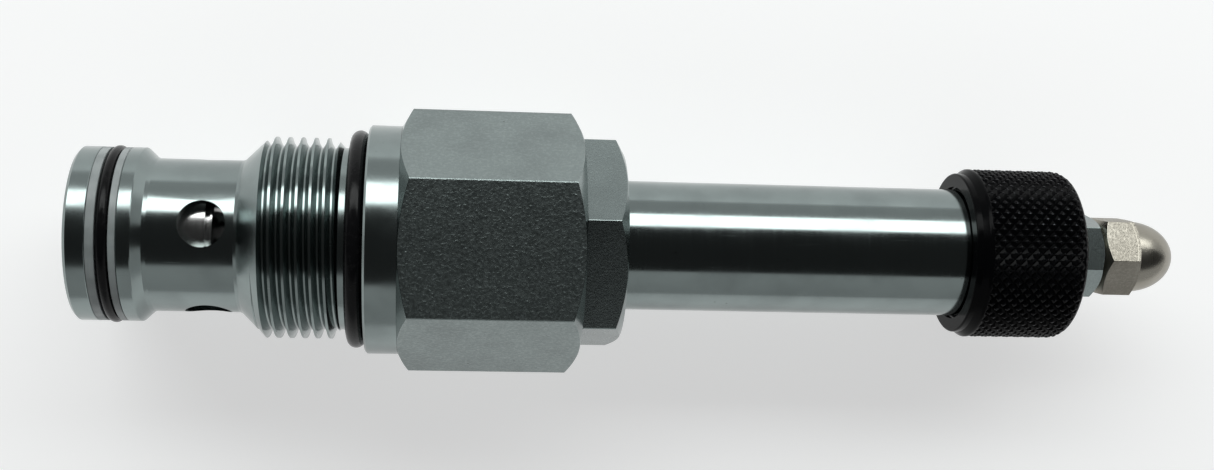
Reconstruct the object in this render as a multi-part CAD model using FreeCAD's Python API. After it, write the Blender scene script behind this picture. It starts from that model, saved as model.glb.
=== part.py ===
import FreeCAD, Part
import math
import os

from FreeCAD import Placement, Rotation, Vector

# Screw-in solenoid cartridge valve, shown without its coil. Millimetres.
# The valve's axis is X: the nose points to -X and the cap nut to +X.
# X = 0 is the collar's seating face, Y = Z = 0 is the axis, and a flat of the big hex faces +Z.

# Cartridge body, outside
NOSE_TIP = -46.3
NOSE_R = 14.25                # slides in the cavity's 28.6 mm nose bore
NOSE_GROOVE = (-42.9, -38.2)
NOSE_GROOVE_R = 11.95
NOSE_LAND_END = -36.0
NECK = (-34.3, -20.2)
NECK_R = 12.55
SIDE_PORT_X = -25.5
SIDE_PORT_R = 3.75
SIDE_PORT_COUNT = 4
SIDE_PORT_TURN = -12.7        # degrees about +X, from +Z
THREAD_PITCH = 25.4 / 12      # 1-5/16 inch, 12 threads per inch
THREAD_R = 16.65
THREAD_CREST_X = -15.17       # where one crest crosses the +Y side
THREAD_END = -4.45
RELIEF_R = 15.1
COLLAR_R = 19.0
COLLAR_END = 5.3
BIG_HEX_END = 35.0
BIG_HEX_FLATS = 38.1

# Cartridge body, inside
PORT_R = 8.0
PORT_END = -37.0
SEAT_R = 7.6
SEAT_X = -33.6
BORE_R = 10.0
BORE_END = 9.2
COUNTERBORE_R = 12.0
ORING_POCKET_X = 31.4
ORING_POCKET_R = 13.6
DRAIN_R = 0.65
DRAIN_AT_R = 11.2

# Main poppet and its spring
POPPET_R = BORE_R - 0.05
POPPET_END = -1.5
POPPET_TIP_R = 6.2
CONTROL_RIM = (-24.75, -24.1)
CONTROL_RIM_R = 9.3
WAIST = (-24.1, -19.5)
WAIST_R = 5.0
GLIDE_GROOVE = (-10.2, -7.6)
GLIDE_GROOVE_R = 8.6
ORIFICE_R = 0.6
SPRING_POCKET_R = 6.5
SPRING_POCKET_X = -14.0

# Pilot seat insert
SEAT_FACE = 3.2
PILOT_END = 13.5
PILOT_R = BORE_R - 0.05
PILOT_GROOVE = (5.0, 7.2)
PILOT_GROOVE_R = 8.6
PILOT_PASSAGE_R = 1.0

# Tube assembly
SHANK_X = 13.6
SHANK_R = COUNTERBORE_R - 0.05
TUBE_POCKET_X = 24.0
SMALL_HEX = (35.15, 42.0)
SMALL_HEX_FLATS = 31.75
SMALL_HEX_TURN = 14.2
TUBE_R = 10.9
TUBE_BORE_R = 9.9
TUBE = (24.05, 101.0)
POLE_FACE = 62.0
ARMATURE_R = TUBE_BORE_R - 0.08
ARMATURE = (64.95, 91.9)
STROKE = 2.5
PIN_R = 1.95
PIN_END = 72.9
POLE_R = TUBE_BORE_R - 0.05
RETURN_POCKET_R = 4.6
RETURN_POCKET_X = 50.0
PLUG_FACE = 92.2
PLUG_END = 119.1
PLUG_THREAD = (102.0, 112.5)
PLUG_THREAD_R = 9.525         # 3/4 inch, 16 threads per inch
PLUG_THREAD_PITCH = 25.4 / 16

# Manual override
STEM_R = 3.97                 # 5/16 inch, 24 threads per inch
STEM_PITCH = 25.4 / 24
STEM_BORE_R = STEM_R + 0.05
STEM = (94.3, 132.0)
STEM_THREAD_START = 109.0
STEM_TIP_R = 2.5
STEM_SHANK_X = 98.7
STEM_GROOVE = (103.2, 105.0)
STEM_GROOVE_R = 2.9
SMALL_NUT_FLATS = 12.7
JAM_NUT = (119.2, 124.9)
JAM_NUT_TURN = -14.8
CAP_NUT = (125.05, 139.2)
CAP_HEX_END = 131.4
CAP_NUT_TURN = -27.2

# Coil nut
COIL_NUT = (99.9, 119.2)
COIL_NUT_R = 14.5
COIL_NUT_LIP_R = 13.7
COIL_NUT_LIP_END = 101.0
COIL_NUT_MOUTH_R = TUBE_R + 0.5
COIL_NUT_GROOVE = (100.5, 102.3)
COIL_NUT_GROOVE_R = 12.5
COIL_NUT_EXIT_R = 7.6         # passes over the corners of the small nuts

HEX_CHAMFER = math.tan(math.radians(30))
X_AXIS = Vector(1, 0, 0)
ORIGIN = Vector(0, 0, 0)


def turned(outline):
    """Solid of revolution about X from a closed outline of (x, radius) points."""
    points = [Vector(x, r, 0) for x, r in outline]
    face = Part.Face(Part.makePolygon(points + points[:1]))
    return face.revolve(ORIGIN, X_AXIS, 360)


def turned_edges(edges):
    """Solid of revolution about X from edges that close in the XY plane."""
    face = Part.Face(Part.Wire(edges))
    return face.revolve(ORIGIN, X_AXIS, 360)


def line(a, b):
    return Part.LineSegment(Vector(a[0], a[1], 0), Vector(b[0], b[1], 0)).toShape()


def arc(a, middle, b):
    return Part.Arc(*(Vector(x, r, 0) for x, r in (a, middle, b))).toShape()


def ring(ends, r_in, r_out, edge=0.0):
    """Plain ring with its outer edges bevelled."""
    x0, x1 = ends
    return turned([(x0, r_in), (x0, r_out - edge), (x0 + edge, r_out),
                   (x1 - edge, r_out), (x1, r_out - edge), (x1, r_in)])


def rod(ends, r, edge=0.0):
    return ring(ends, 0, r, edge)


def oval_ring(x, r, half_width, half_height):
    """Seal ring of round or oval section, centred at (x, r)."""
    if half_width == half_height:
        return Part.makeTorus(r, half_width, Vector(x, 0, 0), X_AXIS)
    section = Part.Ellipse(Vector(x, r, 0), max(half_width, half_height), min(half_width, half_height))
    if half_height > half_width:
        section.rotate(Placement(Vector(x, r, 0), Rotation(Vector(0, 0, 1), 90)))
    face = Part.Face(Part.Wire(section.toShape()))
    return face.revolve(ORIGIN, X_AXIS, 360)


def turn_about_x(shape, degrees):
    shape = shape.copy()
    shape.rotate(ORIGIN, X_AXIS, degrees)
    return shape


def hexagon(ends, flats, turn=0, edge_r=0.3):
    """Hexagonal prism along X with a flat facing +Z, its long edges rounded."""
    x0, x1 = ends
    corner = flats / math.sqrt(3)
    points = [Vector(x0, corner * math.sin(a), corner * math.cos(a))
              for a in (math.radians(30 + 60 * i) for i in range(6))]
    prism = Part.Face(Part.makePolygon(points + points[:1])).extrude(Vector(x1 - x0, 0, 0))
    long_edges = [e for e in prism.Edges if abs(e.Length - (x1 - x0)) < 1e-6]
    return turn_about_x(prism.makeFillet(edge_r, long_edges), turn)


def hex_limits(ends, flats, face_r0=None, face_r1=None):
    """The turned solid that trims a hex: a 30 degree chamfer at each end that has a face radius."""
    x0, x1 = ends
    r = flats / math.sqrt(3) + 0.5
    left = [(x0, r)] if face_r0 is None else [(x0, face_r0), (x0 + (r - face_r0) * HEX_CHAMFER, r)]
    right = [(x1, r)] if face_r1 is None else [(x1 - (r - face_r1) * HEX_CHAMFER, r), (x1, face_r1)]
    return turned([(x0, 0)] + left + right + [(x1, 0)])


def along_x(shape, x=0.0):
    """Lays a shape that was built along Z onto the X axis, its start at x."""
    shape = shape.copy()
    shape.Placement = Placement(Vector(x, 0, 0), Rotation(Vector(0, 1, 0), 90)).multiply(shape.Placement)
    return shape


def thread_groove(ends, pitch, major_r, crest_x=None):
    """Helical 60 degree groove that cuts a right-hand external thread between two stations."""
    x0, x1 = ends
    wall = 0.05 * pitch                          # straight sides at the mouth, square to the crest
    overshoot = 0.4 * pitch
    root_half = pitch / 16
    mouth_half = 7 * pitch / 16 - wall * HEX_CHAMFER
    root_r = major_r - (7 / 16 - 1 / 16) * pitch * math.sqrt(3)
    outline = [(-root_half, root_r), (root_half, root_r), (mouth_half, major_r - wall),
               (mouth_half, major_r + overshoot), (-mouth_half, major_r + overshoot),
               (-mouth_half, major_r - wall)]
    points = [Vector(r, 0, x) for x, r in outline]
    profile = Part.makePolygon(points + points[:1])
    helix = Part.Wire(Part.makeLongHelix(pitch, x1 - x0, major_r).Edges)
    groove = helix.makePipeShell([profile], True, True)
    if crest_x is not None:
        # The helix starts on the -Z side, a quarter turn before +Y; the root is half a pitch off the crest.
        root_x = crest_x - pitch / 4 + pitch / 2
        x0 = root_x - pitch * math.ceil((root_x - x0) / pitch)
    return along_x(groove, x0)


def coil_spring(ends, mean_r, wire_r, turns):
    """Round-wire compression spring with its ends ground flat."""
    x0, x1 = ends
    length = x1 - x0
    helix = Part.Wire(Part.makeLongHelix(length / turns, length, mean_r).Edges)
    section = Part.Wire(Part.makeCircle(wire_r, Vector(mean_r, 0, 0), Vector(0, 1, 0)))
    wire = along_x(helix.makePipeShell([section], True, True), x0)
    return wire.common(ring(ends, mean_r - 2 * wire_r, mean_r + 2 * wire_r))


def radial_drill(x, r, depth_from, depth_to, turn):
    """Round drilling square to the axis; turn is measured about +X from +Z."""
    drill = Part.makeCylinder(r, depth_to - depth_from, Vector(x, 0, depth_from), Vector(0, 0, 1))
    return turn_about_x(drill, turn)


def axial_drill(ends, r, at_r, turn):
    drill = Part.makeCylinder(r, ends[1] - ends[0], Vector(ends[0], 0, at_r), X_AXIS)
    return turn_about_x(drill, turn)


def cartridge_body():
    """Nose, ported neck, cavity thread, collar and big hex in one turned piece."""
    g0, g1 = NOSE_GROOVE
    n0, n1 = NECK
    hex_face_r = COLLAR_R - 0.05
    outside = turned([
        (NOSE_TIP, 0), (NOSE_TIP, NOSE_R - 0.5), (NOSE_TIP + 0.5, NOSE_R),
        (g0 - 0.1, NOSE_R), (g0, NOSE_R - 0.1), (g0, NOSE_GROOVE_R),
        (g1, NOSE_GROOVE_R), (g1, NOSE_R - 0.1), (g1 + 0.1, NOSE_R),
        (NOSE_LAND_END - 0.15, NOSE_R), (NOSE_LAND_END, NOSE_R - 0.1),
        (n0 - 0.3, NECK_R + 0.25), (n0 + 0.3, NECK_R), (n1 - 0.3, NECK_R),
        (n1 + 0.2, NECK_R + 0.25), (n1 + THREAD_R - NECK_R, THREAD_R),
        (THREAD_END - 1.0, THREAD_R), (THREAD_END + 0.35, RELIEF_R), (0, RELIEF_R),
        (0, COLLAR_R - 0.35), (0.35, COLLAR_R), (COLLAR_END, COLLAR_R), (COLLAR_END, 0)])
    outside = outside.cut(thread_groove((n1 - 1.0, -2.0), THREAD_PITCH, THREAD_R, THREAD_CREST_X))
    hex_ends = (COLLAR_END - 0.01, BIG_HEX_END)
    big_hex = hexagon(hex_ends, BIG_HEX_FLATS, edge_r=0.4)
    big_hex = big_hex.common(hex_limits(hex_ends, BIG_HEX_FLATS, hex_face_r, hex_face_r))
    body = outside.fuse(big_hex)
    mouth_x = BIG_HEX_END + 1
    body = body.cut(turned([
        (NOSE_TIP - 1, 0), (NOSE_TIP - 1, PORT_R + 1.6), (NOSE_TIP + 0.6, PORT_R), (PORT_END, PORT_R),
        (PORT_END + 0.4, SEAT_R), (SEAT_X, SEAT_R), (SEAT_X, BORE_R), (BORE_END, BORE_R),
        (BORE_END, COUNTERBORE_R), (ORING_POCKET_X, COUNTERBORE_R), (ORING_POCKET_X, ORING_POCKET_R),
        (mouth_x - 1.4, ORING_POCKET_R), (mouth_x, ORING_POCKET_R + 1.4), (mouth_x, 0)]))
    for i in range(SIDE_PORT_COUNT):
        turn = SIDE_PORT_TURN + 360 / SIDE_PORT_COUNT * i
        body = body.cut(radial_drill(SIDE_PORT_X, SIDE_PORT_R, BORE_R - 3, NECK_R + 3, turn))
    drain = axial_drill((SIDE_PORT_X, BORE_END + 1), DRAIN_R, DRAIN_AT_R, SIDE_PORT_TURN + 180)
    return body.cut(drain).removeSplitter()


def backup_ring(ends):
    """Flat anti-extrusion ring with a slanting scarf cut."""
    x0, x1 = ends
    whole = ring(ends, NOSE_GROOVE_R + 0.05, NOSE_R - 0.04, 0.08)
    slit = Part.makeBox(8, 0.15, 6, Vector(-4, -0.075, -NOSE_R - 1))
    slit.rotate(ORIGIN, Vector(0, 0, 1), 28)
    slit.translate(Vector((x0 + x1) / 2, 0, 0))
    return whole.cut(slit)


def main_poppet():
    """Hollow poppet: 45 degree seat cone, control rim, waist and long guide land."""
    cone_x = SEAT_X + 0.05                       # the cone's radius here is SEAT_R
    tip_x = cone_x - (SEAT_R - POPPET_TIP_R)
    cone_end = cone_x + POPPET_R - SEAT_R
    rim0, rim1 = CONTROL_RIM
    w1 = WAIST[1]
    g0, g1 = GLIDE_GROOVE
    outside = turned([
        (tip_x - 1.2, 0), (tip_x - 1.2, POPPET_TIP_R - 0.4), (tip_x - 0.8, POPPET_TIP_R),
        (tip_x, POPPET_TIP_R),
        (cone_end, POPPET_R), (rim0 - 0.6, POPPET_R), (rim0 - 0.6, CONTROL_RIM_R - 0.6),
        (rim0, CONTROL_RIM_R - 0.6), (rim0 + 0.15, CONTROL_RIM_R), (rim1 - 0.2, CONTROL_RIM_R),
        (rim1, CONTROL_RIM_R - 0.2), (rim1, WAIST_R), (w1 - 0.3, WAIST_R), (w1, POPPET_R),
        (g0, POPPET_R), (g0, GLIDE_GROOVE_R), (g1, GLIDE_GROOVE_R), (g1, POPPET_R),
        (POPPET_END - 0.4, POPPET_R), (POPPET_END, POPPET_R - 0.4), (POPPET_END, 0)])
    pocket = turned([(SPRING_POCKET_X, 0), (SPRING_POCKET_X, SPRING_POCKET_R),
                     (POPPET_END + 1, SPRING_POCKET_R), (POPPET_END + 1, 0)])
    orifice = rod((NOSE_TIP, SPRING_POCKET_X + 1), ORIFICE_R)
    return outside.cut(pocket).cut(orifice)


def pilot_seat():
    """Insert clamped under the tube base: closes the poppet's chamber and carries the pilot seat."""
    g0, g1 = PILOT_GROOVE
    flange_x = BORE_END + 0.05
    flange_r = COUNTERBORE_R - 0.1
    outside = turned([
        (SEAT_FACE, 0), (SEAT_FACE, PILOT_R - 0.35), (SEAT_FACE + 0.35, PILOT_R), (g0, PILOT_R),
        (g0, PILOT_GROOVE_R), (g1, PILOT_GROOVE_R), (g1, PILOT_R), (flange_x, PILOT_R),
        (flange_x, flange_r), (PILOT_END, flange_r), (PILOT_END, 0)])
    spring_guide = rod((-0.5, SEAT_FACE + 0.1), 4.4, 0.4)
    cone_x = PILOT_END - 1.2
    cone_r = PILOT_PASSAGE_R + 2
    passage = turned([(-1.5, 0), (-1.5, PILOT_PASSAGE_R), (cone_x, PILOT_PASSAGE_R),
                      (cone_x + 2, cone_r), (cone_x + 2, 0)])
    notch = axial_drill((BORE_END - 1, PILOT_END + 1), 0.9, DRAIN_AT_R + 0.2, SIDE_PORT_TURN + 180)
    return outside.fuse(spring_guide).cut(passage).cut(notch).removeSplitter()


def tube_base():
    """Hexagon adapter that screws into the body and holds the pole piece and guide tube."""
    x0, x1 = SMALL_HEX
    hex_part = hexagon((x0, x1), SMALL_HEX_FLATS, SMALL_HEX_TURN, 0.35)
    hex_part = hex_part.common(hex_limits((x0, x1), SMALL_HEX_FLATS, None, SMALL_HEX_FLATS / 2 - 0.25))
    shank = turned([(SHANK_X, 0), (SHANK_X, SHANK_R - 0.25), (SHANK_X + 0.25, SHANK_R),
                    (x0 + 0.01, SHANK_R), (x0 + 0.01, 0)])
    tube_r = TUBE_R + 0.05
    step_x = SHANK_X + 1.9
    inside = turned([(SHANK_X - 1, 0), (SHANK_X - 1, DRAIN_AT_R), (step_x, DRAIN_AT_R), (step_x, 8.95),
                     (TUBE_POCKET_X, 8.95), (TUBE_POCKET_X, tube_r), (x1 + 1, tube_r), (x1 + 1, 0)])
    return hex_part.fuse(shank).cut(inside).removeSplitter()


def pole_piece():
    """Fixed core: bored for the push pin, with a pocket for the armature's spring."""
    foot_x = SHANK_X + 2.1
    foot_r = 8.9
    neck_x = TUBE_POCKET_X + 0.1
    outside = turned([(foot_x, 0), (foot_x, foot_r - 0.4), (foot_x + 0.4, foot_r), (neck_x, foot_r),
                      (neck_x, POLE_R), (POLE_FACE - 0.3, POLE_R),
                      (POLE_FACE, POLE_R - 0.3), (POLE_FACE, 0)])
    bore = rod((foot_x - 1, POLE_FACE + 1), PIN_R + 0.05)
    pocket = rod((RETURN_POCKET_X, POLE_FACE + 1), RETURN_POCKET_R)
    return outside.cut(bore).cut(pocket)


def armature():
    """Plunger with a pressed-in push pin, a spring pocket and two balance holes."""
    x0, x1 = ARMATURE
    outside = rod(ARMATURE, ARMATURE_R, 0.5)
    pocket = rod((x0 - 1, x0 + 3), RETURN_POCKET_R)
    pin_hole = rod((x0 - 1, PIN_END + 0.1), PIN_R + 0.02)
    solid = outside.cut(pocket).cut(pin_hole)
    for turn in (0, 180):
        solid = solid.cut(axial_drill((x0 - 1, x1 + 1), 1.2, 7.0, turn))
    return solid


def push_pin():
    """Pin that the armature pushes through the pole piece onto the pilot seat."""
    tip_x = 11.77 + STROKE                       # closed, the cone rests on the pilot seat
    tip_r = 0.4
    return turned([(tip_x, 0), (tip_x, tip_r), (tip_x + PIN_R - tip_r, PIN_R), (PIN_END - 0.3, PIN_R),
                   (PIN_END, PIN_R - 0.3), (PIN_END, 0)])


def end_plug():
    """Closes the tube, carries the coil nut's thread and guides the override screw."""
    t0, t1 = PLUG_THREAD
    plug_r = TUBE_BORE_R - 0.05
    flange_x = TUBE[1] + 0.05
    relief_r = PLUG_THREAD_R - 1.1
    boss_r = 6.2
    outside = turned([
        (PLUG_FACE, 0), (PLUG_FACE, plug_r - 0.4), (PLUG_FACE + 0.4, plug_r), (flange_x, plug_r),
        (flange_x, TUBE_R), (t0 - 0.2, TUBE_R), (t0, TUBE_R - 0.2), (t0, relief_r), (t0 + 0.6, relief_r),
        (t0 + 1.7, PLUG_THREAD_R), (t1 - 1.0, PLUG_THREAD_R), (t1, PLUG_THREAD_R - 1.0), (t1, boss_r),
        (PLUG_END - 0.3, boss_r), (PLUG_END, boss_r - 0.3), (PLUG_END, 0)])
    groove = thread_groove((t0 + 0.2, t1 + 1.0), PLUG_THREAD_PITCH, PLUG_THREAD_R)
    step_x = PLUG_FACE + 4.2
    tip_bore_r = STEM_TIP_R + 0.1
    bore = turned([(PLUG_FACE - 1, 0), (PLUG_FACE - 1, tip_bore_r), (step_x, tip_bore_r),
                   (step_x, STEM_BORE_R), (PLUG_END + 1, STEM_BORE_R), (PLUG_END + 1, 0)])
    return outside.cut(groove).cut(bore)


def override_screw():
    """Threaded stem with a plain sealed shank, a push tip and a hexagon socket."""
    x0, x1 = STEM
    g0, g1 = STEM_GROOVE
    start = STEM_THREAD_START
    relief_r = STEM_R - 0.75
    outside = turned([
        (x0, 0), (x0, STEM_TIP_R - 0.3), (x0 + 0.3, STEM_TIP_R), (STEM_SHANK_X, STEM_TIP_R),
        (STEM_SHANK_X, STEM_R - 0.3), (STEM_SHANK_X + 0.3, STEM_R), (g0, STEM_R), (g0, STEM_GROOVE_R),
        (g1, STEM_GROOVE_R), (g1, STEM_R), (start - 1.6, STEM_R), (start - 1.0, relief_r),
        (start, relief_r), (start + 0.75, STEM_R), (x1 - 0.8, STEM_R), (x1, STEM_R - 0.8), (x1, 0)])
    groove = thread_groove((start - 0.4, x1 + 0.6), STEM_PITCH, STEM_R)
    socket_flats = 3.97
    socket = hexagon((x1 - 4, x1 + 1), socket_flats, edge_r=0.05)
    return outside.cut(groove).cut(socket)


def coil_nut():
    """Knurled nut on the tube's end that would clamp the coil."""
    x0, x1 = COIL_NUT
    g0, g1 = COIL_NUT_GROOVE
    r = COIL_NUT_R
    lip_r, lip_x = COIL_NUT_LIP_R, COIL_NUT_LIP_END
    mouth_r, exit_r = COIL_NUT_MOUTH_R, COIL_NUT_EXIT_R
    groove_r = COIL_NUT_GROOVE_R
    corner = 2.3
    slant = corner * math.sqrt(0.5)
    thread_r = PLUG_THREAD_R + 0.05
    thread_x = PLUG_THREAD[1] + 0.3
    edges = [
        line((x0, mouth_r), (x0, lip_r - 0.25)), line((x0, lip_r - 0.25), (x0 + 0.25, lip_r)),
        line((x0 + 0.25, lip_r), (lip_x, lip_r)), line((lip_x, lip_r), (lip_x + 0.8, r - 0.2)),
        line((lip_x + 0.8, r - 0.2), (lip_x + 1.1, r)), line((lip_x + 1.1, r), (x1 - corner, r)),
        arc((x1 - corner, r), (x1 - corner + slant, r - corner + slant), (x1, r - corner)),
        line((x1, r - corner), (x1, exit_r + 0.5)), line((x1, exit_r + 0.5), (x1 - 0.5, exit_r)),
        line((x1 - 0.5, exit_r), (thread_x, exit_r)), line((thread_x, exit_r), (thread_x, thread_r)),
        line((thread_x, thread_r), (g1 + 0.5, thread_r)), line((g1 + 0.5, thread_r), (g1, thread_r + 0.5)),
        line((g1, thread_r + 0.5), (g1, groove_r)), line((g1, groove_r), (g0, groove_r)),
        line((g0, groove_r), (g0, mouth_r)), line((g0, mouth_r), (x0, mouth_r))]
    return turned_edges(edges)


def jam_nut():
    """Thin nut that locks the override screw, recessed for its seal."""
    face_r = SMALL_NUT_FLATS / 2 - 0.1
    solid = hexagon(JAM_NUT, SMALL_NUT_FLATS, JAM_NUT_TURN, 0.15)
    solid = solid.common(hex_limits(JAM_NUT, SMALL_NUT_FLATS, face_r, face_r))
    solid = solid.cut(rod((JAM_NUT[0] - 1, JAM_NUT[1] + 1), STEM_BORE_R))
    return solid.cut(rod((JAM_NUT[0] - 1, JAM_NUT[0] + 1.2), 5.25))


def cap_nut():
    """Acorn nut over the override screw: hexagon, neck and round dome."""
    x0, x1 = CAP_NUT
    dome_r = 6.15
    hex_ends = (x0, CAP_HEX_END)
    face_r = SMALL_NUT_FLATS / 2
    hex_part = hexagon(hex_ends, SMALL_NUT_FLATS, CAP_NUT_TURN, 0.15)
    hex_part = hex_part.common(hex_limits(hex_ends, SMALL_NUT_FLATS, face_r - 0.9, face_r - 0.05))
    dome_x = CAP_HEX_END - 0.01
    bullet = Part.Ellipse(Vector(dome_x, 0, 0), x1 - dome_x, dome_r)
    dome = turned_edges([
        Part.ArcOfEllipse(bullet, 0, math.pi / 2).toShape(),
        line((dome_x, dome_r), (dome_x, 0)), line((dome_x, 0), (x1, 0))])
    bore = turned([(x0 - 1, 0), (x0 - 1, STEM_BORE_R), (133.0, STEM_BORE_R), (135.2, 0)])
    recess = rod((x0 - 1, x0 + 1.1), 5.1)
    return hex_part.fuse(dome).cut(bore).cut(recess).removeSplitter()


PARTS = {
    "cartridge_body": cartridge_body,
    "nose_oring": lambda: oval_ring(-40.42, 13.24, 1.02, 1.27),
    "nose_backup_ring_front": lambda: backup_ring((-42.85, -41.48)),
    "nose_backup_ring_rear": lambda: backup_ring((-39.36, -38.25)),
    "cavity_oring": lambda: oval_ring(-1.56, 16.6, 1.475, 1.475),
    "main_poppet": main_poppet,
    "poppet_glide_ring": lambda: ring((-10.15, -7.65), GLIDE_GROOVE_R + 0.03, BORE_R - 0.02, 0.1),
    "poppet_spring": lambda: coil_spring((SPRING_POCKET_X + 0.02, SEAT_FACE - 0.02), 5.3, 0.6, 6.5),
    "pilot_seat": pilot_seat,
    "pilot_seat_oring": lambda: oval_ring(6.1, 9.29, 0.95, 0.66),
    "tube_base": tube_base,
    "tube_base_oring": lambda: oval_ring(33.2, 12.76, 0.78, 0.78),
    "guide_tube": lambda: ring(TUBE, TUBE_BORE_R, TUBE_R, 0.15),
    "pole_piece": pole_piece,
    "anti_stick_washer": lambda: ring((POLE_FACE + 0.04, POLE_FACE + 0.36), 5.2, 9.5),
    "armature": armature,
    "armature_spring": lambda: coil_spring((RETURN_POCKET_X + 0.04, ARMATURE[0] + 2.96), 3.6, 0.45, 8),
    "push_pin": push_pin,
    "end_plug": end_plug,
    "override_screw": override_screw,
    "override_oring": lambda: oval_ring(104.1, 3.45, 0.54, 0.54),
    "coil_nut": coil_nut,
    "coil_nut_oring": lambda: oval_ring(101.4, TUBE_R + 0.8, 0.78, 0.78),
    "jam_nut": jam_nut,
    "jam_nut_seal": lambda: ring((JAM_NUT[0] + 0.05, JAM_NUT[0] + 1.15), STEM_BORE_R, 5.2),
    "cap_nut": cap_nut,
    "cap_nut_seal": lambda: ring((CAP_NUT[0] + 0.05, CAP_NUT[0] + 1.05), STEM_BORE_R, 5.05),
}

os.makedirs("parts", exist_ok=True)
for name, make in PARTS.items():
    shape = make()
    solids = shape.Solids
    print(f"{name:24} solids {len(solids)} valid {shape.isValid()} volume {shape.Volume:9.1f}")
    result = solids[0] if len(solids) == 1 else shape
    result.exportStep(f"parts/{name}.step")
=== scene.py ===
"""Looks for the cartridge valve: finishes on the CAD nodes, a knurled coil nut, floor, light and camera."""
import math

import bpy
from mathutils import Matrix, Vector


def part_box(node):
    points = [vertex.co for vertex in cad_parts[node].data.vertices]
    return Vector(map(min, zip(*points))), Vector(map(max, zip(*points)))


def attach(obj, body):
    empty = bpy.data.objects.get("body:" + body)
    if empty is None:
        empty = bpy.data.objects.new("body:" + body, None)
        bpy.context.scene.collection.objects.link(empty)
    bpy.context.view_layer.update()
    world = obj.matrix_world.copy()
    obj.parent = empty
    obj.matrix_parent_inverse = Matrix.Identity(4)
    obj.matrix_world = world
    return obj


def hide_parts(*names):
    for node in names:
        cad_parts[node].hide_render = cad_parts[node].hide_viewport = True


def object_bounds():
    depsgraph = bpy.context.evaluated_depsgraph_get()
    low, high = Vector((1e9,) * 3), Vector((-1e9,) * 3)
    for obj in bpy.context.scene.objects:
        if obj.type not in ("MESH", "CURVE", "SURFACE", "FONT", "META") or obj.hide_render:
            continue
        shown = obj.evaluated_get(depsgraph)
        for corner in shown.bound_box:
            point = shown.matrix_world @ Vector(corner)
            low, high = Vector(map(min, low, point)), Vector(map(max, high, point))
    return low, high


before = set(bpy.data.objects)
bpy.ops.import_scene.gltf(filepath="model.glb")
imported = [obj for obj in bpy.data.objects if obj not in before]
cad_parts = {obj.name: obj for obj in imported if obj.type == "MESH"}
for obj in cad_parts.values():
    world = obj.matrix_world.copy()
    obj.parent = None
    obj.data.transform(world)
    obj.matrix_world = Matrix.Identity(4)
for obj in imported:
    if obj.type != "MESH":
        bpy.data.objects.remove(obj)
cad_low, cad_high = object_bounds()

MM = 0.001

# Knurl of the coil nut
KNURL_COUNT = 45            # diamonds round the nut
KNURL_PITCH = 1.9 * MM      # one diamond along the axis
KNURL_DEPTH = 0.42 * MM
KNURL_FLAT = 0.16           # share of each diamond left as a flat top
KNURL_STEPS = 8             # mesh cells across one diamond
KNURL_START = 2.5 * MM      # from the nut's mouth
KNURL_RUN_IN = 0.4 * MM     # from no depth to full depth
KNURL_RUN_OUT = (1.6 * MM, 0.5 * MM)    # where its depth starts and ends fading, from the nut's end
KNURL_LEAD = 0.05 * MM      # last plain ring of the outline before the knurl
KNURL_SLIVER = 0.02 * MM    # no ring of the outline lies closer than this to the nut's end

# Coil nut's outline: radii, and lengths from its mouth
NUT_LIP_R = 13.7 * MM
NUT_MOUTH_R = 11.4 * MM
NUT_GROOVE_R = 12.5 * MM
NUT_THREAD_R = 9.575 * MM
NUT_EXIT_R = 7.6 * MM
NUT_LIP_LENGTH = 1.1 * MM
NUT_CORNER_R = 2.3 * MM     # round at the end
NUT_CHAMFER = 0.5 * MM
NUT_GROOVE = (0.6 * MM, 2.4 * MM)
NUT_THREAD = (2.9 * MM, 12.9 * MM)
# Two rounded edges, as (length along the nut, depth below the full radius)
NUT_LIP_EDGE = ((0, 0.25 * MM), (0.08 * MM, 0.09 * MM), (0.25 * MM, 0))
NUT_CONE_EDGE = ((0.8 * MM, 0.2 * MM), (0.94 * MM, 0.08 * MM), (1.12 * MM, 0))

# Where the hexagons lie along X
BODY_HEX_START = 5.3 * MM
SMALL_HEX_START = 35.15 * MM
CAP_HEX_LENGTH = 6.35 * MM

# Floor and light, in metres
FLOOR_SIZE = 8.0
FLOOR_CENTRE_X = 0.04
FLOOR_GAP = 0.02 * MM       # below the lowest point of the part
SOFT_BOX_AIM = Vector((0.045, 0, 0))
SOFT_BOX_SIZE = (1.6, 0.30)
SOFT_BOX_WATTS = 6.8
SOFT_BOX_DISTANCE = 0.75
SOFT_BOX_TILT = 50          # degrees from overhead towards +Y
# The room's brightness by the angle round X in degrees: 0 is overhead (+Z), positive is towards +Y
ROOM_STOPS = [(-180, 0.42), (-100, 0.42), (-60, 0.5), (-43, 0.52), (-41, 0.028), (36, 0.028), (38, 0.52),
              (66, 0.5), (100, 0.62), (180, 0.42)]

# Camera
IMAGE_WIDTH = 1214
FOCAL_PIXELS = 1527.4
SENSOR_MM = 36
CAMERA_AT = Vector((13.82, 17.23, 256.80)) * MM
CAMERA_RIGHT = Vector((0.99459, 0.02936, 0.09920))
CAMERA_FORWARD = Vector((0.10085, -0.06031, -0.99309))


# ---------------------------------------------------------------- node helpers

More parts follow.
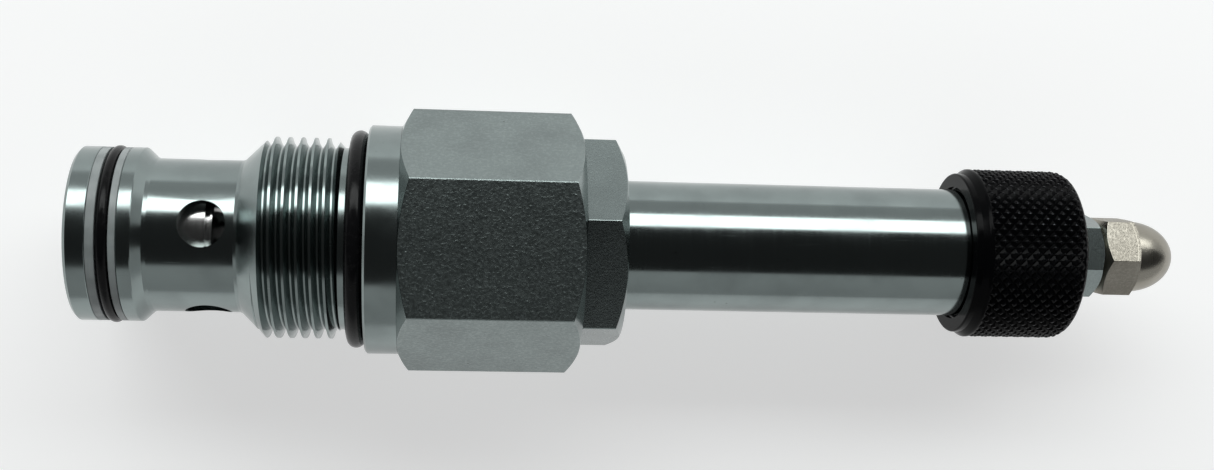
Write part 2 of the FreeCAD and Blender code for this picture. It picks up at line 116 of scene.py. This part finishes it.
class Finish:
    """A material's node tree, with short calls for the nodes that the finishes share."""

    def __init__(self, name):
        self.material = bpy.data.materials.new(name)
        self.material.use_nodes = True
        self.tree = self.material.node_tree
        self.shader = self.tree.nodes["Principled BSDF"]
        self.coords = self.tree.nodes.new("ShaderNodeTexCoord").outputs["Object"]
        axes = self.tree.nodes.new("ShaderNodeSeparateXYZ")
        self.tree.links.new(self.coords, axes.inputs[0])
        self.x, self.y, self.z = axes.outputs
        self.bumps = []

    def set(self, **values):
        """Sets sockets by name (underscores for spaces) to constants or links them to a node's output."""
        for name, value in values.items():
            self.feed(self.shader.inputs[name.replace("_", " ")], value)

    def feed(self, socket, value):
        if isinstance(value, bpy.types.NodeSocket):
            self.tree.links.new(value, socket)
        elif isinstance(value, tuple) and len(value) == 3 and socket.type == "RGBA":
            socket.default_value = (*value, 1)
        else:
            socket.default_value = value

    def math(self, operation, *values, clamp=False):
        node = self.tree.nodes.new("ShaderNodeMath")
        node.operation = operation
        node.use_clamp = clamp
        for socket, value in zip(node.inputs, values):
            self.feed(socket, value)
        return node.outputs[0]

    def stretched(self, sx, sy, sz):
        """Object coordinates scaled on each axis, in cells per metre."""
        node = self.tree.nodes.new("ShaderNodeVectorMath")
        node.operation = "MULTIPLY"
        self.feed(node.inputs[0], self.coords)
        node.inputs[1].default_value = (sx, sy, sz)
        return node.outputs[0]

    def noise(self, vector, scale=1.0, detail=2.0, roughness=0.5, distortion=0.0):
        node = self.tree.nodes.new("ShaderNodeTexNoise")
        self.feed(node.inputs["Vector"], vector)
        for name, value in (("Scale", scale), ("Detail", detail), ("Roughness", roughness),
                            ("Distortion", distortion)):
            node.inputs[name].default_value = value
        return node.outputs["Fac"]

    def cells(self, vector, scale):
        node = self.tree.nodes.new("ShaderNodeTexVoronoi")
        self.feed(node.inputs["Vector"], vector)
        node.inputs["Scale"].default_value = scale
        return node.outputs["Distance"]

    def ramp(self, value, low, high, out_low=0.0, out_high=1.0, smooth=True):
        node = self.tree.nodes.new("ShaderNodeMapRange")
        node.interpolation_type = "SMOOTHSTEP" if smooth else "LINEAR"
        for socket, given in zip(node.inputs, (value, low, high, out_low, out_high)):
            self.feed(socket, given)
        return node.outputs[0]

    def mix(self, share, a, b):
        """Colour between a and b."""
        node = self.tree.nodes.new("ShaderNodeMix")
        node.data_type = "RGBA"
        for socket, given in ((node.inputs[0], share), (node.inputs[6], a), (node.inputs[7], b)):
            self.feed(socket, given)
        return node.outputs[2]

    def lerp(self, share, a, b):
        node = self.tree.nodes.new("ShaderNodeMix")
        for socket, given in ((node.inputs[0], share), (node.inputs[2], a), (node.inputs[3], b)):
            self.feed(socket, given)
        return node.outputs[0]

    def radius(self):
        squares = [self.math("MULTIPLY", c, c) for c in (self.y, self.z)]
        return self.math("SQRT", self.math("ADD", *squares))

    def between(self, value, low, high, soft):
        """1 where value lies between low and high, 0 elsewhere."""
        rise = self.ramp(value, low - soft, low + soft)
        fall = self.ramp(value, high - soft, high + soft, 1.0, 0.0)
        return self.math("MULTIPLY", rise, fall)

    def bump(self, height, depth, strength=1.0):
        """Adds a bump of the given depth in metres on top of the earlier ones."""
        node = self.tree.nodes.new("ShaderNodeBump")
        self.feed(node.inputs["Height"], height)
        self.feed(node.inputs["Strength"], strength)
        node.inputs["Distance"].default_value = depth
        if self.bumps:
            self.tree.links.new(self.bumps[-1], node.inputs["Normal"])
        self.bumps.append(node.outputs[0])
        self.tree.links.new(node.outputs[0], self.shader.inputs["Normal"])


def turned_detail(f, lines=7000, depth=1.2e-6):
    """Fine rings left by the lathe, a few drag marks and small pits. Returns (rings, drags, pits); the
    callers also use the pits mask to paint shade into the pits.
    """
    rings = f.noise(f.stretched(lines, 60, 60), detail=3.0, roughness=0.65)
    drags = f.ramp(f.noise(f.stretched(90, 4200, 4200), detail=2.0), 0.66, 0.8)
    pits = f.ramp(f.cells(f.coords, 420), 0.03, 0.09, 1.0, 0.0)
    keep = f.ramp(f.noise(f.coords, 160, detail=1.0), 0.56, 0.62)
    pits = f.math("MULTIPLY", pits, keep)
    f.bump(rings, depth)
    f.bump(f.math("MULTIPLY", drags, -1.0), 1.5e-6)
    f.bump(f.math("MULTIPLY", pits, -1.0), 1.2e-5)
    return rings, drags, pits


def turned_metal(name, colour, stain, roughness, lines=7000, depth=1.2e-6):
    """Lathe-turned metal: rings, drag marks, pits with painted shade, and cloudy plating."""
    f = Finish(name)
    rings, drags, pits = turned_detail(f, lines, depth)
    cloud = f.noise(f.coords, 140, detail=3.0)
    tint = f.mix(f.ramp(cloud, 0.35, 0.75), colour, stain)
    # painted shade: the pits' colour is darkened towards near black
    tint = f.mix(f.math("MULTIPLY", pits, 0.7), tint, (0.05, 0.05, 0.05))
    rough = f.ramp(cloud, 0.3, 0.7, roughness * 0.85, roughness * 1.25)
    rough = f.math("ADD", rough, f.math("MULTIPLY", f.ramp(rings, 0.45, 0.75), 0.05))
    rough = f.math("ADD", rough, f.math("MULTIPLY", drags, 0.12), clamp=True)
    f.set(Base_Color=tint, Metallic=1.0, Roughness=rough)
    return f


def plated_hex_metal(name, colour, stain, roughness, hex_ends, hex_radius, face_radius, peel, peel_depth,
                     peel_rough):
    """Turned metal whose hexagon has a fine orange-peel skin, with painted shade in the skin's low spots and
    in the pits.

    The skin lies between hex_ends, outside hex_radius and off the end chamfers, which start at face_radius.
    peel is the skin's noise scale, peel_depth its height in metres and peel_rough its roughness.
    """
    f = Finish(name)
    soft = 0.05 * MM
    start, end = hex_ends
    radius = f.radius()
    on_hex = f.math("MULTIPLY", f.between(f.x, start + 0.06 * MM, end - 0.06 * MM, soft),
                    f.ramp(radius, hex_radius - soft, hex_radius + soft))
    from_end = f.math("MINIMUM", f.math("SUBTRACT", f.x, start), f.math("SUBTRACT", end, f.x))
    cone = f.math("ADD", face_radius, f.math("MULTIPLY", from_end, math.sqrt(3)))
    off_cone = f.math("ABSOLUTE", f.math("SUBTRACT", radius, cone))
    on_hex = f.math("MULTIPLY", on_hex, f.ramp(off_cone, 0.04 * MM, 0.12 * MM))
    rings, drags, pits = turned_detail(f)
    cloud = f.noise(f.coords, 130, detail=3.0)
    skin = f.noise(f.coords, peel, detail=3.0, roughness=0.6, distortion=0.4)
    swell = f.noise(f.coords, peel * 0.3, detail=1.0)
    f.bump(f.ramp(skin, 0.3, 0.75, smooth=False), peel_depth, on_hex)
    f.bump(swell, peel_depth * 0.6, on_hex)
    tint = f.mix(f.ramp(cloud, 0.35, 0.75), colour, stain)
    # painted shade: the skin's low spots on the hexagon are darkened towards a deeper stain colour
    tint = f.mix(f.math("MULTIPLY", f.ramp(skin, 0.62, 0.5), f.math("MULTIPLY", on_hex, 0.22)), tint,
                 tuple(0.6 * c for c in stain))
    # painted shade: the pits' colour is darkened towards near black
    tint = f.mix(f.math("MULTIPLY", pits, 0.7), tint, (0.05, 0.05, 0.05))
    rough = f.ramp(cloud, 0.3, 0.7, roughness * 0.85, roughness * 1.3)
    rough = f.math("ADD", rough, f.math("MULTIPLY", drags, 0.1))
    hex_rough = f.ramp(skin, 0.3, 0.7, peel_rough * 1.15, peel_rough * 0.85)
    f.set(Base_Color=tint, Metallic=1.0, Roughness=f.lerp(on_hex, rough, hex_rough))
    return f


def black_rubber():
    f = Finish("black_rubber")
    dust = f.noise(f.coords, 900, detail=4.0, roughness=0.6)
    f.bump(dust, 6e-6)
    f.set(Base_Color=f.mix(f.ramp(dust, 0.5, 0.8), (0.004, 0.004, 0.0045), (0.008, 0.008, 0.0085)),
          Roughness=f.ramp(dust, 0.35, 0.7, 0.16, 0.3), IOR=1.22)
    return f


def backup_plastic():
    f = Finish("backup_plastic")
    cloud = f.noise(f.coords, 260, detail=3.0)
    f.bump(f.noise(f.stretched(5200, 90, 90), detail=2.0), 4e-6)
    f.set(Base_Color=f.mix(f.ramp(cloud, 0.35, 0.7), (0.25, 0.275, 0.275), (0.19, 0.21, 0.21)),
          Roughness=f.ramp(cloud, 0.3, 0.7, 0.34, 0.5))
    return f


def glide_plastic():
    f = Finish("glide_plastic")
    fleck = f.noise(f.coords, 2600, detail=3.0)
    f.bump(fleck, 4e-6)
    f.set(Base_Color=f.mix(f.ramp(fleck, 0.4, 0.65), (0.10, 0.075, 0.05), (0.28, 0.2, 0.11)),
          Roughness=0.45)
    return f


def black_anodised():
    """Black anodised aluminium; the knurl's tops, marked in the mesh, are rubbed a little."""
    f = Finish("black_anodised")
    crest = f.tree.nodes.new("ShaderNodeAttribute")
    crest.attribute_name = "knurl_crest"
    grain = f.noise(f.coords, 3500, detail=3.0)
    rings = f.noise(f.stretched(6000, 80, 80), detail=2.0)
    f.bump(rings, 1.5e-6)
    f.bump(grain, 3e-6)
    rubbed = f.math("MULTIPLY", f.ramp(crest.outputs["Fac"], 0.8, 1.0), f.ramp(grain, 0.42, 0.6))
    f.set(Base_Color=f.mix(rubbed, (0.0015, 0.0016, 0.0019), (0.03, 0.031, 0.034)), Metallic=rubbed, IOR=1.12,
          Roughness=f.ramp(grain, 0.3, 0.7, 0.14, 0.22))
    return f


def wire_steel():
    f = Finish("spring_steel")
    drawn = f.noise(f.coords, 2200, detail=3.0)
    f.bump(drawn, 3e-6)
    f.set(Base_Color=f.mix(f.ramp(drawn, 0.3, 0.7), (0.34, 0.34, 0.35), (0.5, 0.5, 0.51)), Metallic=1.0,
          Roughness=f.ramp(drawn, 0.3, 0.7, 0.22, 0.36))
    return f


# ---------------------------------------------------------------- finishes on the CAD nodes

# The stain colours also give the cloudy tone; darkened, they give the painted shade in the hexagon skin's low
# spots.
ZINC = (0.255, 0.297, 0.292)
ZINC_STAIN = (0.215, 0.25, 0.247)
NICKEL = (0.36, 0.34, 0.295)
NICKEL_STAIN = (0.30, 0.28, 0.24)


def node_span(name):
    low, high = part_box(name)
    return low.x, high.x


def dress_nodes():
    """Gives each CAD node in the table below its finish; the coil nut gets none, as build_coil_nut hides it.
    """
    steel = turned_metal("ground_steel", (0.56, 0.56, 0.55), (0.48, 0.48, 0.48), 0.16)
    core = turned_metal("core_steel", (0.42, 0.43, 0.44), (0.36, 0.37, 0.38), 0.26, lines=4500, depth=2.5e-6)
    tube = turned_metal("polished_tube", ZINC, ZINC_STAIN, 0.13, lines=9000, depth=0.8e-6)
    brass = turned_metal("brass", (0.62, 0.44, 0.2), (0.5, 0.36, 0.18), 0.24)
    rubber, plastic, wire = black_rubber(), backup_plastic(), wire_steel()
    body_hex = (BODY_HEX_START, node_span("cartridge_body")[1])
    body = plated_hex_metal("zinc_body", ZINC, ZINC_STAIN, 0.17, body_hex,
                            hex_radius=15 * MM, face_radius=18.95 * MM,
                            peel=1900, peel_depth=4.6e-5, peel_rough=0.36)
    small_hex = (SMALL_HEX_START, node_span("tube_base")[1])
    base = plated_hex_metal("zinc_small_hex", ZINC, ZINC_STAIN, 0.2, small_hex,
                            hex_radius=13 * MM, face_radius=15.625 * MM,
                            peel=3200, peel_depth=1.0e-5, peel_rough=0.25)
    jam = plated_hex_metal("zinc_jam_nut", ZINC, ZINC_STAIN, 0.2, node_span("jam_nut"),
                           hex_radius=5.4 * MM, face_radius=6.25 * MM,
                           peel=3600, peel_depth=0.15e-5, peel_rough=0.22)
    cap_start = node_span("cap_nut")[0]
    cap_hex = (cap_start, cap_start + CAP_HEX_LENGTH)
    cap = plated_hex_metal("nickel", NICKEL, NICKEL_STAIN, 0.3, cap_hex,
                           hex_radius=5.3 * MM, face_radius=5.45 * MM,
                           peel=2400, peel_depth=3.8e-5, peel_rough=0.46)
    finishes = {
        "cartridge_body": body,
        "tube_base": base,
        "jam_nut": jam,
        "cap_nut": cap,
        "guide_tube": tube, "end_plug": tube,
        "main_poppet": steel, "pilot_seat": steel, "push_pin": steel, "override_screw": steel,
        "pole_piece": core, "armature": core,
        "anti_stick_washer": brass,
        "poppet_spring": wire, "armature_spring": wire,
        "poppet_glide_ring": glide_plastic(),
        "nose_backup_ring_front": plastic, "nose_backup_ring_rear": plastic,
        "jam_nut_seal": plastic, "cap_nut_seal": plastic,
        "nose_oring": rubber, "cavity_oring": rubber, "pilot_seat_oring": rubber,
        "tube_base_oring": rubber, "override_oring": rubber, "coil_nut_oring": rubber,
    }
    for name, finish in finishes.items():
        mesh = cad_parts[name].data
        mesh.materials.clear()
        mesh.materials.append(finish.material)


# ---------------------------------------------------------------- coil nut

def knurl_height(a, b):
    """0 at the grooves and 1 on the diamonds' flat tops; a and b count diamonds along and round the nut."""
    def tent(value):
        return 1 - abs(2 * (value - math.floor(value)) - 1)
    height = min(tent(a + b), tent(a - b))
    return min(1.0, height / (1 - KNURL_FLAT))


def smoothstep(value, low, high):
    t = min(1.0, max(0.0, (value - low) / (high - low)))
    return t * t * (3 - 2 * t)


def build_coil_nut():
    """Turned body of the coil nut with a cut diamond knurl, as one closed mesh of rings round the axis."""
    low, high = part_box("coil_nut")
    left, right, outer = low.x, high.x, high.z
    lip_end = left + NUT_LIP_LENGTH
    knurl_start = left + KNURL_START
    fade_start, fade_end = (right - length for length in KNURL_RUN_OUT)
    spans = KNURL_COUNT * KNURL_STEPS
    step_x = KNURL_PITCH / KNURL_STEPS

    # Outline as (x, radius, cuts): cuts is the share of the knurl's full depth there.
    outline = [(left, NUT_MOUTH_R, 0)]
    outline += [(left + along, NUT_LIP_R - below, 0) for along, below in NUT_LIP_EDGE]
    outline.append((lip_end, NUT_LIP_R, 0))
    outline += [(lip_end + along, outer - below, 0) for along, below in NUT_CONE_EDGE]
    outline.append((knurl_start - KNURL_LEAD, outer, 0))
    x = knurl_start
    while x < right - KNURL_SLIVER:
        into = max(0.0, x - (right - NUT_CORNER_R))
        r = outer - NUT_CORNER_R + math.sqrt(max(0.0, NUT_CORNER_R * NUT_CORNER_R - into * into))
        run_in = smoothstep(x, knurl_start, knurl_start + KNURL_RUN_IN)
        cuts = run_in * (1 - smoothstep(x, fade_start, fade_end))
        outline.append((x, r, cuts))
        x += step_x
    thread_start, thread_end = (left + length for length in NUT_THREAD)
    groove_start, groove_end = (left + length for length in NUT_GROOVE)
    outline += [(right, outer - NUT_CORNER_R, 0), (right, NUT_EXIT_R + NUT_CHAMFER, 0),
                (right - NUT_CHAMFER, NUT_EXIT_R, 0), (thread_end, NUT_EXIT_R, 0),
                (thread_end, NUT_THREAD_R, 0), (thread_start, NUT_THREAD_R, 0),
                (groove_end, NUT_THREAD_R + NUT_CHAMFER, 0), (groove_end, NUT_GROOVE_R, 0),
                (groove_start, NUT_GROOVE_R, 0), (groove_start, NUT_MOUTH_R, 0)]

    points, crests = [], []
    for x, r, cuts in outline:
        for k in range(spans):
            height = knurl_height((x - knurl_start) / KNURL_PITCH, k / KNURL_STEPS)
            depth = KNURL_DEPTH * cuts * (1 - height)
            angle = 2 * math.pi * k / spans
            points.append((x, (r - depth) * math.sin(angle), (r - depth) * math.cos(angle)))
            crests.append(height if cuts else 0.0)

    def radius(index):
        return math.hypot(points[index][1], points[index][2])

    faces = []
    rows = len(outline)
    for row in range(rows):
        after = (row + 1) % rows
        knurled = outline[row][2] > 0 or outline[after][2] > 0
        for k in range(spans):
            nxt = (k + 1) % spans
            a, b, c, d = row * spans + k, row * spans + nxt, after * spans + nxt, after * spans + k
            if not knurled:
                faces.append((a, b, c, d))
            elif abs(radius(a) - radius(c)) < abs(radius(b) - radius(d)):
                faces += [(a, b, c), (a, c, d)]
            else:
                faces += [(a, b, d), (b, c, d)]
    mesh = bpy.data.meshes.new("coil_nut_knurled")
    mesh.from_pydata(points, [], faces)
    mesh.attributes.new("knurl_crest", "FLOAT", "POINT").data.foreach_set("value", crests)
    mesh.polygons.foreach_set("use_smooth", [True] * len(mesh.polygons))
    mesh.validate()
    mesh.set_sharp_from_angle(angle=math.radians(25))
    nut = bpy.data.objects.new("coil_nut_knurled", mesh)
    bpy.context.scene.collection.objects.link(nut)
    mesh.materials.append(black_anodised().material)
    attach(nut, "coil_nut")
    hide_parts("coil_nut")


# ---------------------------------------------------------------- floor, light and camera

def make_floor():
    bpy.ops.mesh.primitive_plane_add(size=FLOOR_SIZE, location=(FLOOR_CENTRE_X, 0, cad_low.z - FLOOR_GAP))
    floor = bpy.context.object
    floor.name = "floor"
    f = Finish("floor_paint")
    f.set(Base_Color=(0.55, 0.555, 0.555), Roughness=0.8, Specular_IOR_Level=0.1,
          Emission_Color=(1.0, 1.0, 1.0), Emission_Strength=0.55)
    floor.data.materials.append(f.material)


def area_light(name, location, target, size, power, colour):
    data = bpy.data.lights.new(name, "AREA")
    data.shape = "RECTANGLE"
    data.size, data.size_y = size
    data.energy = power
    data.color = colour
    light = bpy.data.objects.new(name, data)
    light.location = location
    light.rotation_mode = "QUATERNION"
    light.rotation_quaternion = (Vector(target) - Vector(location)).to_track_quat("-Z", "Y")
    bpy.context.scene.collection.objects.link(light)


def make_light():
    """Long soft box behind the object, and a soft room that is dark overhead, as over a camera stand."""
    tilt = math.radians(SOFT_BOX_TILT)
    spot = SOFT_BOX_AIM + Vector((0, math.sin(tilt), math.cos(tilt))) * SOFT_BOX_DISTANCE
    area_light("soft_box", spot, SOFT_BOX_AIM, SOFT_BOX_SIZE, SOFT_BOX_WATTS, (0.97, 1.0, 0.99))

    world = bpy.data.worlds.new("room")
    bpy.context.scene.world = world
    world.use_nodes = True
    tree = world.node_tree
    background = tree.nodes["Background"]
    coords = tree.nodes.new("ShaderNodeTexCoord")
    axes = tree.nodes.new("ShaderNodeSeparateXYZ")
    tree.links.new(coords.outputs["Generated"], axes.inputs[0])
    angle = tree.nodes.new("ShaderNodeMath")
    angle.operation = "ARCTAN2"
    tree.links.new(axes.outputs[1], angle.inputs[0])
    tree.links.new(axes.outputs[2], angle.inputs[1])
    ramp = tree.nodes.new("ShaderNodeValToRGB")
    turn = tree.nodes.new("ShaderNodeMapRange")
    turn.inputs[1].default_value, turn.inputs[2].default_value = -math.pi, math.pi
    tree.links.new(angle.outputs[0], turn.inputs[0])
    tree.links.new(turn.outputs[0], ramp.inputs[0])

    def at(degrees):
        return 0.5 + degrees / 360

    ramp.color_ramp.elements[0].position = 0
    while len(ramp.color_ramp.elements) < len(ROOM_STOPS):
        ramp.color_ramp.elements.new(0.5)
    for element, (degrees, level) in zip(ramp.color_ramp.elements, ROOM_STOPS):
        element.position = at(degrees)
        element.color = (level * 0.98, level, level, 1)
    tree.links.new(ramp.outputs[0], background.inputs[0])
    background.inputs[1].default_value = 1.0


def make_camera():
    data = bpy.data.cameras.new("camera")
    data.sensor_width = SENSOR_MM
    data.lens = FOCAL_PIXELS / IMAGE_WIDTH * SENSOR_MM
    data.clip_start, data.clip_end = 0.01, 20
    camera = bpy.data.objects.new("camera", data)
    back = -CAMERA_FORWARD.normalized()
    right = (CAMERA_RIGHT - CAMERA_RIGHT.dot(back) * back).normalized()
    up = back.cross(right)
    camera.matrix_world = Matrix.Translation(CAMERA_AT) @ Matrix((right, up, back)).transposed().to_4x4()
    bpy.context.scene.collection.objects.link(camera)
    bpy.context.scene.camera = camera


make_camera()
dress_nodes()
build_coil_nut()
make_floor()
make_light()
bpy.context.scene.view_settings.view_transform = "Standard"
